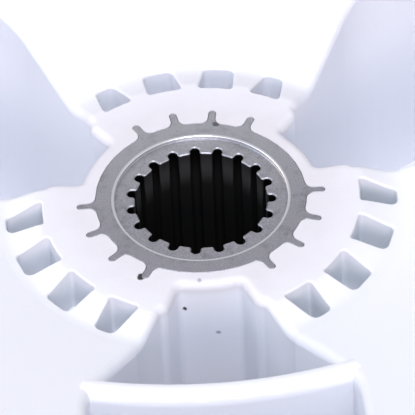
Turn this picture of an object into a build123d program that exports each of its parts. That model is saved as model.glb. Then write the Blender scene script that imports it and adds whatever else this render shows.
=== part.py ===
from build123d import *
import math
import os

# Washing machine washplate, lying on its washing face with the underside and the drive socket up.
# One white moulding with three hollow vanes, and one metal drive insert moulded into its hub.
# The origin is on the surface that it lies on, on the hub's axis. Sizes are in millimetres.

# Drive insert
GROOVES = 19
GROOVE_BOTTOM_R = 10.0
TOOTH_TIP_R = 8.85
GROOVE_WIDTH = 1.3
TOOTH_ROUND = 0.32
GROOVE_PHASE = 1.1
SOCKET_DEPTH = 23.0
SLEEVE_R = 12.6
SLEEVE_LENGTH = 27.0
BOLT_HOLE_R = 3.3
BOLT_LAND_R = 9.8
BOLT_LAND_HEIGHT = 1.0
FLANGE_R = 14.1
FLANGE_THICKNESS = 3.0
STEP_R = 11.6
STEP_DEPTH = 0.55
STEP_CHAMFER = 0.35
SPIKES_PER_LOBE = 4
SPIKE_PITCH = 19.3
SPIKE_TIP_R = 16.6
SPIKE_WIDTH = 1.1
SPIKE_ROOT_R = 1.1
METAL_EDGE = 0.15
INSERT_CLEARANCE = 0.0

# Hub
LOBES = 3
FIRST_LOBE = 90.0
HUB_FACE_Z = 38.0
CORE_R = 16.3
CORE_HALF_ANGLE = 14.6
LOBE_CORNER_R = 20.5
LOBE_CORNER_ANGLE = 16.5
LOBE_CORNER_ROUND = 1.3
HUB_FLAT_R = 21.9
HUB_EDGE_BEND = 2.0
BOSS_R = 20.5
BOSS_EDGE = 3.0
BOLT_RECESS_R = 11.0

# Pockets that core out the lobes
POCKET_INNER_R = 21.2
POCKET_OUTER_R = 26.1
POCKET_INNER_SIDES = ((3.0, 15.8), (22.4, 34.2))
POCKET_OUTER_SIDES = ((4.9, 14.0), (23.6, 29.6))
POCKET_DEPTH = 7.0
POCKET_CORNER = 0.45
POCKET_OUTER_CORNER = 0.9
POCKET_EDGE = 0.3
RIB_FALL = 1.4
VALLEY_BEND = 4.0

# Dished plate
PLATE_R = 170.0
WALL = 3.0
DISH_SLOPE_IN = 21.3
DISH_SLOPE_OUT = 3.0
RIM_HEIGHT = 8.0
RIM_WIDTH = 3.0
RIM_ROUND = 1.2
RIM_FOOT_ROUND = 2.5

# Vanes, hollow from the underside
FLANK_START = (20.0, 6.8)
FLANK_ANGLE = 30.4
VANE_HALF_WIDTH = 17.2
VANE_END_S = 131.0
VANE_FLAT_S = 88.0
VANE_TIP_RISE = 30.0
CREST_ROUND = 6.0
OUTLINE_ROUND = 0.85
FLANK_BEND_ROUND = 14.0
WELL_EDGE_ROUND = 1.2

# Cross walls in the vane hollows; one vane has a further one close to the hub
CROSS_WALL_S = (78.0, 116.0)
HUB_WALL_S = 37.9
HUB_WALL_VANE = 270.0
CROSS_WALL_THICKNESS = 3.4
CROSS_WALL_BOW_R = 64.5
CROSS_WALL_DROP = 0.4

# Drain holes through the dish, in rows across each arm
DRAIN_R = 3.0
DRAIN_ROWS = ((76.0, 3), (104.0, 4), (132.0, 5))
DRAIN_SPACING = 27.0

CUT = 60.0


def polar(radius, degrees):
    """Point of the plan at a radius and an angle."""
    return (radius * math.cos(math.radians(degrees)), radius * math.sin(math.radians(degrees)))


LOBE_ANGLES = [FIRST_LOBE + 360 / LOBES * i for i in range(LOBES)]
VANE_ANGLES = [angle + 180 / LOBES for angle in LOBE_ANGLES]
LOBE_OFFSETS = [SPIKE_PITCH * (i - (SPIKES_PER_LOBE - 1) / 2) for i in range(SPIKES_PER_LOBE)]

# The dish's underside is an arc from the pockets' outer edge to the foot of the rim
DISH_IN_R = POCKET_OUTER_R
DISH_IN_Z = HUB_FACE_Z - RIB_FALL
DISH_OUT_R = PLATE_R - RIM_WIDTH
DISH_ARC_R = (DISH_OUT_R - DISH_IN_R) / (
    math.sin(math.radians(DISH_SLOPE_IN)) - math.sin(math.radians(DISH_SLOPE_OUT))
)
DISH_CENTRE_R = DISH_IN_R + DISH_ARC_R * math.sin(math.radians(DISH_SLOPE_IN))
DISH_CENTRE_Z = DISH_IN_Z - DISH_ARC_R * math.cos(math.radians(DISH_SLOPE_IN))


def dish_z(radius, depth=0.0):
    """Height of the dish's underside at a radius, or of a surface that much below it."""
    return DISH_CENTRE_Z + math.sqrt((DISH_ARC_R - depth) ** 2 - (DISH_CENTRE_R - radius) ** 2)


def dish_arc(inner_r, outer_r, depth=0.0):
    """Arc of the dish between two radii, at a depth below its underside."""
    middle = (inner_r + outer_r) / 2
    return ThreePointArc(*[(r, dish_z(r, depth)) for r in (inner_r, middle, outer_r)])


# Insert
def spline_plan():
    """Toothed opening of the socket, with rounded groove bottoms and tooth tips."""
    groove_end = GROOVE_WIDTH / 2
    groove = Pos(GROOVE_BOTTOM_R - groove_end, 0) * Circle(groove_end)
    groove += Pos(GROOVE_BOTTOM_R - 2 * groove_end, 0) * Rectangle(2 * groove_end, GROOVE_WIDTH)
    plan = Circle(TOOTH_TIP_R)
    first = FIRST_LOBE + GROOVE_PHASE
    plan += [Rot(0, 0, first + 360 / GROOVES * i) * groove for i in range(GROOVES)]
    mouths = [v for v in plan.vertices() if abs(math.hypot(v.X, v.Y) - TOOTH_TIP_R) < 0.05]
    return fillet(mouths, TOOTH_ROUND)


def flange_plan(gap=0.0):
    """Round flange with its groups of anchoring spikes, which have wide root fillets."""
    half = SPIKE_WIDTH / 2 + gap
    tip = SPIKE_TIP_R + gap - half
    spike = Pos(tip / 2, 0) * Rectangle(tip, 2 * half) + Pos(tip, 0) * Circle(half)
    plan = Circle(FLANGE_R + gap)
    for lobe in LOBE_ANGLES:
        plan += [Rot(0, 0, lobe + offset) * spike for offset in LOBE_OFFSETS]
    roots = [v for v in plan.vertices() if abs(math.hypot(v.X, v.Y) - FLANGE_R - gap) < 0.05]
    return fillet(roots, SPIKE_ROOT_R - gap)


def insert_envelope(gap=0.0):
    """Outside of the insert: the spiked flange over its sleeve."""
    flange = extrude(Pos(0, 0, HUB_FACE_Z) * flange_plan(gap), -FLANGE_THICKNESS - gap)
    sleeve = Pos(0, 0, HUB_FACE_Z) * Cylinder(
        SLEEVE_R + gap, SLEEVE_LENGTH, align=(Align.CENTER, Align.CENTER, Align.MAX)
    )
    return flange + sleeve


def spline_insert():
    """Drive insert with the splined socket, the turned step round it and the bolt hole."""
    body = insert_envelope()
    body = chamfer(body.faces().sort_by(Axis.Z)[-1].edges(), METAL_EDGE)
    top = (Align.CENTER, Align.CENTER, Align.MAX)
    step = Cylinder(STEP_R, STEP_DEPTH, align=top)
    step += Pos(0, 0, -STEP_DEPTH + STEP_CHAMFER) * Cone(
        STEP_R, STEP_R + STEP_CHAMFER, STEP_CHAMFER, align=(Align.CENTER, Align.CENTER, Align.MIN)
    )
    body -= Pos(0, 0, HUB_FACE_Z) * step
    body -= extrude(Pos(0, 0, HUB_FACE_Z) * spline_plan(), -SOCKET_DEPTH)
    annulus = body.faces().filter_by(lambda f: abs(f.center().Z - HUB_FACE_Z + STEP_DEPTH) < 0.01)[0]
    body = chamfer(annulus.inner_wires()[0].edges(), METAL_EDGE)
    body += Pos(0, 0, HUB_FACE_Z - SLEEVE_LENGTH) * Cylinder(BOLT_LAND_R, BOLT_LAND_HEIGHT, align=top)
    body -= Pos(0, 0, HUB_FACE_Z) * Cylinder(BOLT_HOLE_R, CUT, align=top)
    return body


# Moulding
def plate_and_boss():
    """Turned form of the moulding: hub face, dish, rim skirt and the boss round the insert."""
    skin_z = HUB_FACE_Z - POCKET_DEPTH - WALL
    skin_r = POCKET_OUTER_R + WALL / 2
    face_r = skin_r + 2 * WALL
    rim_z = dish_z(DISH_OUT_R) + RIM_HEIGHT
    under = dish_arc(DISH_IN_R, DISH_OUT_R)
    face = dish_arc(DISH_OUT_R, face_r, WALL)
    foot_z = dish_z(DISH_OUT_R, WALL)
    rim = Polyline(under @ 1, (DISH_OUT_R, rim_z), (PLATE_R, rim_z), (PLATE_R, foot_z), face @ 0)
    boss = Polyline(face @ 1, (skin_r, skin_z), (BOSS_R, skin_z), (BOSS_R, 0), (0, 0), (0, HUB_FACE_Z),
                    (HUB_FLAT_R, HUB_FACE_Z), (DISH_IN_R, DISH_IN_Z))
    profile = make_face(Plane.XZ * Wire([*under.edges(), *rim.edges(), *face.edges(), *boss.edges()]))
    rounds = [
        ((HUB_FLAT_R, HUB_FACE_Z), HUB_EDGE_BEND),
        ((DISH_IN_R, DISH_IN_Z), min(VALLEY_BEND, POCKET_OUTER_R - HUB_FLAT_R)),
        ((DISH_OUT_R, rim_z), RIM_ROUND),
        ((PLATE_R, rim_z), RIM_ROUND),
        ((PLATE_R, foot_z), RIM_FOOT_ROUND),
        ((face_r, dish_z(face_r, WALL)), VALLEY_BEND),
        ((skin_r, skin_z), VALLEY_BEND / 2),
        ((BOSS_R, skin_z), BOSS_EDGE),
        ((BOSS_R, 0), BOSS_EDGE),
    ]
    for (r, z), radius in rounds:
        corner = profile.vertices().sort_by(lambda v: abs(v.X - r) + abs(v.Z - z))[0]
        profile = fillet(corner, radius)
    return revolve(profile, Axis.Z)


def well_outline():
    """Plan of a vane's hollow along +X, from the hub's core wall to its round outer end."""
    core = polar(CORE_R, CORE_HALF_ANGLE)
    corner = polar(LOBE_CORNER_R, LOBE_CORNER_ANGLE)
    run = (VANE_HALF_WIDTH - FLANK_START[1]) / math.tan(math.radians(FLANK_ANGLE))
    bend = (FLANK_START[0] + run, VANE_HALF_WIDTH)
    shoulder = (VANE_END_S, VANE_HALF_WIDTH)
    upper = Polyline(core, corner, FLANK_START, bend, shoulder)
    lower = mirror(upper, Plane.XZ)
    tip = ThreePointArc(shoulder, (VANE_END_S + VANE_HALF_WIDTH, 0), (shoulder[0], -shoulder[1]))
    wall = ThreePointArc(core, (CORE_R, 0), (core[0], -core[1]))
    plan = make_face(Wire([*upper.edges(), *tip.edges(), *lower.edges(), *wall.edges()]))
    corners = [v for v in plan.vertices() if abs(math.hypot(v.X, v.Y) - LOBE_CORNER_R) < 0.01]
    plan = fillet(corners, LOBE_CORNER_ROUND)
    radii = (CORE_R, math.hypot(*FLANK_START))
    hollows = [v for v in plan.vertices() if min(abs(math.hypot(v.X, v.Y) - r) for r in radii) < 0.01]
    plan = fillet(hollows, OUTLINE_ROUND)
    bends = [v for v in plan.vertices() if abs(v.X - bend[0]) < 0.5 and abs(v.Y) > VANE_HALF_WIDTH - 0.5]
    return fillet(bends, FLANK_BEND_ROUND)


def vane_side(depth):
    """Side view of a vane along +X, above its crest, or above its floor when depth is the wall."""
    end_s = VANE_END_S + VANE_HALF_WIDTH + WALL
    crest = Line((-WALL, depth), (VANE_FLAT_S, depth))
    rise = TangentArc((VANE_FLAT_S, depth), (end_s, VANE_TIP_RISE + depth), tangent=(1, 0))
    back = Polyline((end_s, VANE_TIP_RISE + depth), (end_s, CUT + HUB_FACE_Z), (-WALL, CUT + HUB_FACE_Z),
                    (-WALL, depth))
    side = make_face(Plane.XZ * Wire([*crest.edges(), *rise.edges(), *back.edges()]))
    return extrude(side, CUT, both=True)


def under_dish():
    """Space below the middle of the dish's wall, which trims what is joined to the dish."""
    edge_r = DISH_OUT_R - WALL
    top = dish_arc(0, edge_r, WALL / 2)
    rest = Polyline(top @ 1, (edge_r, -1), (0, -1), top @ 0)
    return revolve(make_face(Plane.XZ * Wire([*top.edges(), *rest.edges()])), Axis.Z)


def rounded_below(solid, radius):
    """Solid with the edges of its downward faces rounded, apart from those at its hub end."""
    low = [f for f in solid.faces() if f.normal_at().Z < -0.3]
    edges = [e for f in low for e in f.edges()]
    outer = [e for e in edges if sum(e.is_same(other) for other in edges) == 1]
    return fillet([e for e in outer if e.bounding_box().max.X > CORE_R], radius)


def vane_shell():
    """Outside of one vane, from the hub's axis to its round outer end, with a rounded crest."""
    angle = math.radians(FLANK_ANGLE)
    root = (FLANK_START[0] - WALL * math.sin(angle), FLANK_START[1] + WALL * math.cos(angle))
    half_width = VANE_HALF_WIDTH + WALL
    bend = (root[0] + (half_width - root[1]) / math.tan(angle), half_width)
    upper = Polyline((0, root[1]), root, bend, (VANE_END_S, half_width))
    lower = mirror(upper, Plane.XZ)
    tip = ThreePointArc(upper @ 1, (VANE_END_S + half_width, 0), lower @ 1)
    root_line = Line(upper @ 0, lower @ 0)
    plan = make_face(Wire([*upper.edges(), *tip.edges(), *lower.edges(), *root_line.edges()]))
    bends = [v for v in plan.vertices() if abs(v.X - bend[0]) < 0.5]
    plan = fillet(bends, FLANK_BEND_ROUND)
    shell = extrude(plan, CUT + HUB_FACE_Z) & vane_side(0.0)
    return rounded_below(shell, CREST_ROUND)


def well(outline):
    """Hollow of one vane, open to the underside."""
    return extrude(outline, CUT + HUB_FACE_Z) & vane_side(WALL)


def cross_wall(outline, s):
    """Bowed wall across one hollow, as high as the arms beside it, with a round crest."""
    top_z = dish_z(math.hypot(s, VANE_HALF_WIDTH)) - CROSS_WALL_DROP
    centre_s = s - CROSS_WALL_BOW_R
    half = CROSS_WALL_THICKNESS / 2
    ring = Circle(CROSS_WALL_BOW_R + half) - Circle(CROSS_WALL_BOW_R - half)
    plan = (Pos(centre_s, 0) * ring) & offset(outline, WALL / 2, kind=Kind.ARC)
    plan = plan.faces().sort_by(lambda f: abs(f.center().X - s))[0]
    wall = extrude(plan, top_z)
    crest = [e for e in wall.edges().group_by(Axis.Z)[-1] if e.length > 2 * CROSS_WALL_THICKNESS]
    return fillet(crest, half * 0.9)


def arc_at(radius, sides):
    """Arc about the hub's axis between two angles."""
    return ThreePointArc(*[polar(radius, angle) for angle in (sides[0], sum(sides) / 2, sides[1])])


def pockets():
    """Cutters of the pockets that core out the lobes, two to each side of a lobe's middle."""
    cutters = []
    for inner_sides, outer_sides in zip(POCKET_INNER_SIDES, POCKET_OUTER_SIDES):
        inner = arc_at(POCKET_INNER_R, inner_sides)
        outer = arc_at(POCKET_OUTER_R, outer_sides)
        sides = [Line(inner @ i, outer @ i) for i in (0, 1)]
        plan = make_face(Wire([edge for part in (inner, outer, *sides) for edge in part.edges()]))
        groups = plan.vertices().group_by(lambda v: round(math.hypot(v.X, v.Y), 3))
        plan = fillet(groups[-1], POCKET_OUTER_CORNER)
        corners = [v for v in plan.vertices() if math.hypot(v.X, v.Y) < POCKET_INNER_R + 0.01]
        plan = fillet(corners, POCKET_CORNER)
        cutter = Pos(0, 0, HUB_FACE_Z - POCKET_DEPTH) * extrude(plan, CUT)
        for lobe in LOBE_ANGLES:
            cutters += [Rot(0, 0, lobe) * cutter, Rot(0, 0, lobe) * mirror(cutter, Plane.XZ)]
    return cutters


def drain_holes():
    """Cutters of the drain holes, in rows across each arm."""
    holes = []
    for lobe in LOBE_ANGLES:
        for radius, count in DRAIN_ROWS:
            step = math.degrees(DRAIN_SPACING / radius)
            for i in range(count):
                place = polar(radius, lobe + step * (i - (count - 1) / 2))
                holes.append(Pos(*place) * Cylinder(DRAIN_R, 4 * CUT))
    return holes


def mouth_edges(body, inner_r, outer_r, most_angle):
    """Edges between upright walls and the surface above them, within some angle of a lobe's middle."""
    sides = {}
    for face in body.faces():
        for edge in face.edges():
            sides.setdefault(edge, []).append(face.normal_at(face.position_at(0.5, 0.5)).Z)
    found = []
    for edge, tilts in sides.items():
        middle = edge @ 0.5
        angle = (math.degrees(math.atan2(middle.Y, middle.X)) - FIRST_LOBE) % (360 / LOBES)
        if (
            min(abs(z) for z in tilts) < 0.02 and max(tilts) > 0.5
            and middle.Z > HUB_FACE_Z - 2 * RIB_FALL
            and inner_r < math.hypot(middle.X, middle.Y) < outer_r
            and min(angle, 360 / LOBES - angle) < most_angle
        ):
            found.append(edge)
    return found


def washplate_body():
    """One white moulding: hub with lobes and pockets, dish, rim and hollow vanes."""
    outline = well_outline()
    vane = vane_shell()
    shell = vane & under_dish()
    body = plate_and_boss() + [Rot(0, 0, angle) * shell for angle in VANE_ANGLES]
    hollow = well(outline)
    body -= [Rot(0, 0, angle) * hollow for angle in VANE_ANGLES]
    wells = mouth_edges(body, CORE_R - OUTLINE_ROUND, DISH_OUT_R - WALL, 180)
    body = fillet(wells, WELL_EDGE_ROUND)
    walls = [cross_wall(outline, s) & vane for s in CROSS_WALL_S]
    body += [Rot(0, 0, angle) * wall for angle in VANE_ANGLES for wall in walls]
    body += Rot(0, 0, HUB_WALL_VANE) * (cross_wall(outline, HUB_WALL_S) & vane)
    body -= pockets()
    most_angle = POCKET_INNER_SIDES[-1][-1] + 1
    mouths = mouth_edges(body, POCKET_INNER_R - WALL / 2, POCKET_OUTER_R + WALL / 2, most_angle)
    body = fillet(mouths, POCKET_EDGE)
    body -= drain_holes()
    body -= insert_envelope(INSERT_CLEARANCE)
    body -= Cylinder(BOLT_RECESS_R, HUB_FACE_Z - SLEEVE_LENGTH + 1,
                     align=(Align.CENTER, Align.CENTER, Align.MIN))
    return body


def main():
    os.makedirs("parts", exist_ok=True)
    export_step(spline_insert(), "parts/spline_insert.step")
    body = washplate_body()
    export_step(body, "parts/washplate_body.step")


main()
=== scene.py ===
import math

import bmesh
import bpy
from mathutils import Matrix, Quaternion, Vector


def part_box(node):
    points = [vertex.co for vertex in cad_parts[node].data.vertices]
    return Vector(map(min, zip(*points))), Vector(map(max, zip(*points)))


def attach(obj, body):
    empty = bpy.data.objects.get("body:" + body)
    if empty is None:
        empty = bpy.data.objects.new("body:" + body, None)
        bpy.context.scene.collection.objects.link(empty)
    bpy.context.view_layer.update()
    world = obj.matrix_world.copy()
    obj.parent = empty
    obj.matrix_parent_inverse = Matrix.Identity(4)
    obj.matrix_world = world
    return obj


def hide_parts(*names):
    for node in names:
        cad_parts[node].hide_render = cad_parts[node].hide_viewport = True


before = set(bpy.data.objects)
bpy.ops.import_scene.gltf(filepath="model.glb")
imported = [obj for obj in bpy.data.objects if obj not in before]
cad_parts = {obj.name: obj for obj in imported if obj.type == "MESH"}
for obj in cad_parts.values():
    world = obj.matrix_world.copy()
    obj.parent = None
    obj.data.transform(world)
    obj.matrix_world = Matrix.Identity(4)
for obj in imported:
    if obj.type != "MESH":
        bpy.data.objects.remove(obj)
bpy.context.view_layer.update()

# Washplate: one white polypropylene piece, injection moulded with a fine satin grain. Its lobed hub, cored
# pockets, dished arms and deep hollow vanes come out of one mould, and the drive insert is moulded in.


class Value:
    """A socket's value at a point of a surface. Plain arithmetic on it adds the material's Math nodes."""

    def __init__(self, graph, socket):
        self.graph = graph
        self.socket = socket

    def maths(self, operation, *others):
        inputs = dict(enumerate((self, *others)))
        return self.graph.node("ShaderNodeMath", {"operation": operation}, inputs)

    def __add__(self, other):
        return self.maths("ADD", other)

    def __sub__(self, other):
        return self.maths("SUBTRACT", other)

    def __mul__(self, other):
        return self.maths("MULTIPLY", other)

    def __rsub__(self, other):
        return (self * -1) + other

    __radd__ = __add__
    __rmul__ = __mul__


class Graph:
    """The nodes of a material or of the world."""

    def __init__(self, tree):
        self.tree = tree

    def node(self, kind, settings=None, inputs=None, output=0):
        """Adds a node: its settings first, then the values or links of its sockets."""
        made = self.tree.nodes.new(kind)
        for name, value in (settings or {}).items():
            setattr(made, name, value)
        for socket, value in (inputs or {}).items():
            if isinstance(value, Value):
                self.tree.links.new(value.socket, made.inputs[socket])
            else:
                made.inputs[socket].default_value = value
        return Value(self, made.outputs[output])

    def mix(self, factor, first, second):
        """Colour that goes from first to second as factor goes from 0 to 1."""
        settings = {"data_type": "RGBA"}
        return self.node("ShaderNodeMix", settings, {0: factor, 6: first, 7: second}, output=2)


class Finish(Graph):
    """A material on one Principled shader, whose patterns read the piece's own coordinates."""

    def __init__(self, name, **constants):
        self.material = bpy.data.materials.new(name)
        self.material.use_nodes = True
        super().__init__(self.material.node_tree)
        self.shader = self.tree.nodes["Principled BSDF"]
        for socket, value in constants.items():
            self.shader.inputs[socket.replace("_", " ")].default_value = value
        self.place = self.node("ShaderNodeTexCoord", output="Object")
        parts = self.node("ShaderNodeSeparateXYZ", inputs={0: self.place}).socket.node.outputs
        self.x, self.y, self.z = [Value(self, socket) for socket in parts]
        self.radius = (self.x * self.x + self.y * self.y).maths("SQRT")

    def noise(self, scale, detail=2.0, roughness=0.5):
        """Soft noise, from 0 to 1, with its lumps about 1/scale metres across."""
        inputs = {"Vector": self.place, "Scale": scale, "Detail": detail, "Roughness": roughness}
        return self.node("ShaderNodeTexNoise", inputs=inputs)

    def between(self, value, low, high):
        """0 below low, 1 above high, and smooth in between."""
        inputs = {"Value": value, "From Min": low, "From Max": high}
        return self.node("ShaderNodeMapRange", {"interpolation_type": "SMOOTHSTEP"}, inputs)

    def spot(self, centre, size, ragged):
        """1 within a ragged spot round a point, and 0 outside it."""
        inputs = {0: self.place, 1: centre}
        away = self.node("ShaderNodeVectorMath", {"operation": "DISTANCE"}, inputs, output="Value")
        away = away + (ragged - 0.5) * size
        return 1 - self.between(away, 0.5 * size, size)

    def marked(self, colour, marks, ragged):
        """The colour with a ragged spot on it for each mark, which is a tint, a centre and a size."""
        for tint, centre, size in marks:
            colour = self.mix(self.spot(centre, size, ragged), colour, tint)
        return colour

    def feed(self, **sockets):
        """Links values to the shader's own sockets."""
        for name, value in sockets.items():
            self.tree.links.new(value.socket, self.shader.inputs[name.replace("_", " ")])

    def bump(self, height, depth):
        """Feeds the Normal socket with a relief of that depth in metres."""
        inputs = {"Height": height, "Distance": depth, "Strength": 1.0}
        self.feed(Normal=self.node("ShaderNodeBump", inputs=inputs))


FACE_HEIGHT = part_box("spline_insert")[1][2]
PLASTIC_WHITE = (0.88, 0.895, 0.96, 1)
PLASTIC_SHADE = (0.862, 0.88, 0.95, 1)
CLOUD_SCALE = 22
CLOUD_EDGES = (0.35, 0.7)

# Grey for the hub's top face near the insert.
HUB_FACE_GREY = (0.7, 0.68, 0.725, 1)
GREY_FACE_RADII = (0.014, 0.03)
GREY_FACE_DEPTHS = (0.0025, 0.0005)
GREY_FACE_SCALE = 240
GREY_FACE_LEAST = 0.55
GREY_FACE_SPREAD = 0.5

# Painted shade for the hub's pockets.
POCKET_PAINTED_SHADE = (0.72, 0.755, 0.81, 1)
POCKET_RADII = (0.0198, 0.0278)
LOBES = 3
LOBE_SIDES = (-0.5, -0.35)
SHADE_FADE_AT_BACK = (0.006, 0.016)
SHADE_SIDE_SPAN = (-0.01, 0.01)
SHADE_SHARE_ON_LEFT = 0.7

GREASE = (0.012, 0.011, 0.012, 1)
DUST = (0.42, 0.42, 0.46, 1)
SPECKS = [
    (GREASE, (-0.0088, -0.0139, FACE_HEIGHT), 0.0007),
    (GREASE, (-0.0034, -0.0161, 0.0335), 0.00045),
    (DUST, (0.0008, -0.0163, 0.0288), 0.0004),
    (DUST, (-0.0013, -0.0153, FACE_HEIGHT), 0.0004),
]
SPECK_EDGE_SCALE = 1500

SATIN_ROUGHNESS = 0.38
SATIN_SPREAD = 0.12
SATIN_SCALE = 60
PLASTIC_GRAIN_SCALE = 2600
PLASTIC_GRAIN_DEPTH = 0.00002

plastic = Finish("white_polypropylene")
cloud = plastic.between(plastic.noise(CLOUD_SCALE, detail=3.0), *CLOUD_EDGES)
colour = plastic.mix(cloud, PLASTIC_WHITE, PLASTIC_SHADE)

# The hub's top face is greyed in noisy patches, fading out a few centimetres from the insert.
on_face = plastic.between(plastic.z, *[FACE_HEIGHT - depth for depth in GREY_FACE_DEPTHS])
grey_face = 1 - plastic.between(plastic.radius, *GREY_FACE_RADII)
grey_face = grey_face * (plastic.noise(GREY_FACE_SCALE, detail=3.0) * GREY_FACE_SPREAD + GREY_FACE_LEAST)
colour = plastic.mix(grey_face * on_face, colour, HUB_FACE_GREY)

# Painted shade in the hub's pockets: below the top face their walls and floors are greyed, fully on the
# right, less on the left and not at all in the far pockets.
turn = plastic.y.maths("ARCTAN2", plastic.x) * LOBES
in_lobe = plastic.between(turn.maths("SINE") * -1, *LOBE_SIDES)
past_inner = plastic.radius.maths("GREATER_THAN", POCKET_RADII[0])
past_outer = plastic.radius.maths("GREATER_THAN", POCKET_RADII[1])
pocket_shade = in_lobe * past_inner * (1 - past_outer) * (1 - on_face)
pocket_shade = pocket_shade * (1 - plastic.between(plastic.y, *SHADE_FADE_AT_BACK))
pocket_shade = pocket_shade * (plastic.between(plastic.x, *SHADE_SIDE_SPAN) * (1 - SHADE_SHARE_ON_LEFT) + SHADE_SHARE_ON_LEFT)
colour = plastic.mix(pocket_shade, colour, POCKET_PAINTED_SHADE)

plastic.feed(Base_Color=plastic.marked(colour, SPECKS, plastic.noise(SPECK_EDGE_SCALE)))
plastic.feed(Roughness=plastic.noise(SATIN_SCALE) * SATIN_SPREAD + SATIN_ROUGHNESS)
plastic.bump(plastic.noise(PLASTIC_GRAIN_SCALE, detail=1.0), PLASTIC_GRAIN_DEPTH)

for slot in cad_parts["washplate_body"].material_slots:
    slot.material = plastic.material

# Drive insert: grey sintered steel, faced and turned on top, with a splined socket. Its flange's spikes
# anchor it in the moulding, and a burnished bead runs round the turned step. Painted shade darkens its
# bore, and a painted sheen lightens its far side.

STEEL = (0.205, 0.199, 0.222, 1)
STEEL_PALE = (0.38, 0.37, 0.405, 1)
STEEL_DARK = (0.13, 0.126, 0.14, 1)
# Bright steel: the burnished bead's own colour, also used for the painted sheen and painted glints.
BURNISH_AND_SHEEN = (0.56, 0.56, 0.58, 1)
BORE_STEEL = (0.13, 0.13, 0.136, 1)
# Dark colour for the painted shade deep in the bore.
BORE_SHADE = (0.011, 0.011, 0.011, 1)

GRAIN_SCALE = 6500
GRAIN_EDGES = (0.25, 0.75)
MOTTLE_SCALE = 700
MOTTLE_EDGES = (0.45, 0.8)
MOTTLE_SHARE = 0.55
PIT_SCALE = 1900
PIT_EDGES = (0.74, 0.8)
SHEEN_SIDE = (-0.006, 0.018)
SHEEN_SHARE = 0.28
# Dark pits on the insert's top face, and two painted glints in the bright steel colour near the upper
# left.
PITS_AND_GLINTS = [
    (BORE_STEEL, (0.00304, 0.01365, FACE_HEIGHT), 0.0006),
    (BORE_STEEL, (0.00313, -0.00975, FACE_HEIGHT), 0.0004),
    (BORE_STEEL, (0.01002, 0.00149, FACE_HEIGHT), 0.00035),
    (BURNISH_AND_SHEEN, (-0.00669, 0.00595, FACE_HEIGHT), 0.0004),
    (BURNISH_AND_SHEEN, (-0.00455, 0.00784, FACE_HEIGHT), 0.00035),
]
MARK_EDGE_SCALE = 2500

BEAD_RADIUS = 0.01176
BEAD_HALF_WIDTH = 0.0002
BEAD_HALF_HEIGHT = 0.00016
BEAD_SIDES = 12
BEAD_TURNS = 240
BEAD_INNER_EDGE = (-0.00023, -0.00017)
BEAD_OUTER_EDGE = (0.00014, 0.0002)

TOOTH_TIP_RADIUS = 0.00885
GROOVE_EDGE = 0.0004
MOUTH_DEPTHS = (0.0006, 0.0010)
BORE_SHADE_DEPTHS = (0.0004, 0.0068)

STEEL_SPECULAR = 0.08
STEEL_ROUGHNESS = 0.4
GRAIN_ROUGHNESS = 0.1
BEAD_POLISH = 0.12
RELIEF_SCALE = 1800
RELIEF_DEPTH = 0.00003

steel = Finish("sintered_steel", Specular_IOR_Level=STEEL_SPECULAR)
grain = steel.noise(GRAIN_SCALE, roughness=0.75)
metal = steel.mix(steel.between(grain, *GRAIN_EDGES), STEEL, STEEL_PALE)
mottle = steel.between(steel.noise(MOTTLE_SCALE, detail=4.0, roughness=0.6), *MOTTLE_EDGES)
metal = steel.mix(mottle * MOTTLE_SHARE, metal, STEEL_DARK)
pits = steel.between(steel.noise(PIT_SCALE, detail=1.0), *PIT_EDGES)
metal = steel.mix(pits, metal, BORE_STEEL)
# Painted sheen: the insert's far side is lightened towards the bright steel colour.
far_sheen = steel.between(steel.y, *SHEEN_SIDE) * SHEEN_SHARE
metal = steel.mix(far_sheen, metal, BURNISH_AND_SHEEN)
metal = steel.marked(metal, PITS_AND_GLINTS, steel.noise(MARK_EDGE_SCALE))

from_bead = steel.radius - BEAD_RADIUS
on_bead = steel.between(from_bead, *BEAD_INNER_EDGE) * (1 - steel.between(from_bead, *BEAD_OUTER_EDGE))
metal = steel.mix(on_bead, metal, BURNISH_AND_SHEEN)

# Painted shade in the socket: below the mouth the bore darkens with depth and in the tooth grooves, to a
# dark colour that is no longer metallic.
below_face = FACE_HEIGHT - steel.z
inside = steel.between(below_face, *MOUTH_DEPTHS)
in_groove = steel.between(steel.radius, TOOTH_TIP_RADIUS, TOOTH_TIP_RADIUS + GROOVE_EDGE)
deep_shade = steel.between(below_face, *BORE_SHADE_DEPTHS)
bore = steel.mix((deep_shade + in_groove).maths("MINIMUM", 1), BORE_STEEL, BORE_SHADE)

steel.feed(Base_Color=steel.mix(inside, metal, bore))
steel.feed(Metallic=1 - inside * deep_shade)
steel.feed(Roughness=grain * GRAIN_ROUGHNESS + STEEL_ROUGHNESS - on_bead * BEAD_POLISH)
steel.bump(steel.noise(RELIEF_SCALE), RELIEF_DEPTH)

MERGE_DISTANCE = 1e-6
SHARP_ANGLE = math.radians(30)

insert_shape = bmesh.new()
upright = Matrix.Rotation(math.pi / 2, 4, "X")
flat_oval = Matrix.Diagonal((BEAD_HALF_WIDTH, 1, BEAD_HALF_HEIGHT, 1))
on_step = Matrix.Translation((BEAD_RADIUS, 0, FACE_HEIGHT - BEAD_HALF_HEIGHT))
bead_place = on_step @ flat_oval @ upright
bmesh.ops.create_circle(insert_shape, segments=BEAD_SIDES, radius=1, matrix=bead_place)
bmesh.ops.spin(
    insert_shape, geom=insert_shape.verts[:] + insert_shape.edges[:], axis=(0, 0, 1), cent=(0, 0, 0),
    angle=2 * math.pi, steps=BEAD_TURNS, use_merge=True
)
bmesh.ops.remove_doubles(insert_shape, verts=insert_shape.verts, dist=MERGE_DISTANCE)
bmesh.ops.recalc_face_normals(insert_shape, faces=insert_shape.faces)
insert_shape.from_mesh(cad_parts["spline_insert"].data)
bmesh.ops.remove_doubles(insert_shape, verts=insert_shape.verts, dist=MERGE_DISTANCE)

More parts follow.
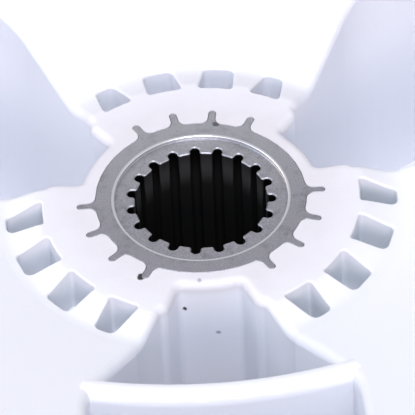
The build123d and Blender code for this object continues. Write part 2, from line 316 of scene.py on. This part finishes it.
insert_mesh = bpy.data.meshes.new("drive_insert")
insert_shape.to_mesh(insert_mesh)
insert_shape.free()
old_normals = insert_mesh.attributes.get("custom_normal")
if old_normals:
    insert_mesh.attributes.remove(old_normals)
insert_mesh.shade_smooth()
insert_mesh.set_sharp_from_angle(angle=SHARP_ANGLE)
insert_mesh.materials.append(steel.material)
insert = bpy.data.objects.new("drive_insert", insert_mesh)
bpy.context.scene.collection.objects.link(insert)
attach(insert, "root")
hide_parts("spline_insert")

# Studio: a pale floor and soft lamps, the strongest from the front and above, with a faint cool fill from
# all round. The camera stands where the photograph was taken from, half a metre from the hub.

FLOOR_HALF_WIDTH = 1.6
FLOOR_COLOUR = (0.86, 0.87, 0.89, 1)
FLOOR_ROUGHNESS = 0.9

floor_shape = bmesh.new()
bmesh.ops.create_grid(floor_shape, x_segments=1, y_segments=1, size=FLOOR_HALF_WIDTH)
floor_mesh = bpy.data.meshes.new("floor")
floor_shape.to_mesh(floor_mesh)
floor_shape.free()
paint = Finish("pale_floor", Base_Color=FLOOR_COLOUR, Roughness=FLOOR_ROUGHNESS)
floor_mesh.materials.append(paint.material)
floor = bpy.data.objects.new("floor", floor_mesh)
bpy.context.scene.collection.objects.link(floor)

SKY_COLOUR = (0.92, 0.95, 1.0, 1)
SKY_FILL = 0.02
SKY_SEEN = 0.9

world = bpy.data.worlds.new("studio")
bpy.context.scene.world = world
world.use_nodes = True
sky = Graph(world.node_tree)
background = world.node_tree.nodes["Background"]
background.inputs["Color"].default_value = SKY_COLOUR
seen = sky.node("ShaderNodeLightPath", output="Is Camera Ray")
mirrored = sky.node("ShaderNodeLightPath", output="Is Glossy Ray")
passed = sky.node("ShaderNodeLightPath", output="Is Transmission Ray")
strength = (seen + mirrored + passed).maths("MINIMUM", 1) * (SKY_SEEN - SKY_FILL) + SKY_FILL
world.node_tree.links.new(strength.socket, background.inputs["Strength"])

HUB_CENTRE = Vector((0, 0, FACE_HEIGHT))


def softbox(name, place, size, power, colour):
    """Square area lamp at a place, turned to the hub."""
    lamp = bpy.data.lights.new(name, "AREA")
    lamp.size = size
    lamp.energy = power
    lamp.color = colour
    box = bpy.data.objects.new(name, lamp)
    box.location = place
    box.rotation_mode = "QUATERNION"
    box.rotation_quaternion = (HUB_CENTRE - Vector(place)).to_track_quat("-Z", "Y")
    bpy.context.scene.collection.objects.link(box)


softbox("front_steep", place=(0, -0.5, 1.3), size=0.5, power=10.6, colour=(1.0, 0.945, 0.94))
softbox("front_high", place=(0, -0.9, 1.0), size=0.9, power=5.6, colour=(0.6, 0.77, 0.97))
softbox("front_low", place=(0, -1.25, 0.45), size=0.6, power=7.8, colour=(1.0, 0.86, 0.81))
softbox("back_left", place=(-0.9, 0.52, 1.0), size=0.7, power=5.5, colour=(1.0, 0.85, 0.7))
softbox("left", place=(-1.0, 0, 0.9), size=0.9, power=5.0, colour=(0.62, 0.78, 1.0))
softbox("right", place=(1.0, 0, 0.9), size=0.9, power=1.8, colour=(1.0, 1.0, 1.0))

VIEW_AZIMUTH = math.radians(-2.2)
VIEW_ELEVATION = math.radians(44.97)
VIEW_ROLL = math.radians(2.73)
VIEW_DISTANCE = 0.4942
FOCAL_PIXELS = 3716
IMAGE_PIXELS = 415
HUB_PIXEL = (200.9, 196.5)
SENSOR_WIDTH = 36
CLIP = (0.01, 20)

back = Vector((
    math.sin(VIEW_AZIMUTH) * math.cos(VIEW_ELEVATION),
    -math.cos(VIEW_AZIMUTH) * math.cos(VIEW_ELEVATION),
    math.sin(VIEW_ELEVATION),
))
level = (-back).to_track_quat("-Z", "Y")
facing = level @ Quaternion((0, 0, 1), -VIEW_ROLL)
across = (IMAGE_PIXELS / 2 - HUB_PIXEL[0]) / FOCAL_PIXELS
down = (IMAGE_PIXELS / 2 - HUB_PIXEL[1]) / FOCAL_PIXELS
aim = facing @ Vector((across, -down, -1))
swing = (facing @ Vector((0, 0, -1))).rotation_difference(aim)
camera = bpy.data.objects.new("camera", bpy.data.cameras.new("camera"))
camera.data.sensor_width = SENSOR_WIDTH
camera.data.lens = SENSOR_WIDTH * FOCAL_PIXELS / IMAGE_PIXELS
camera.data.clip_start, camera.data.clip_end = CLIP
camera.rotation_mode = "QUATERNION"
camera.rotation_quaternion = swing @ facing
camera.location = HUB_CENTRE + back * VIEW_DISTANCE
bpy.context.scene.collection.objects.link(camera)
bpy.context.scene.camera = camera
bpy.context.scene.view_settings.view_transform = "Standard"
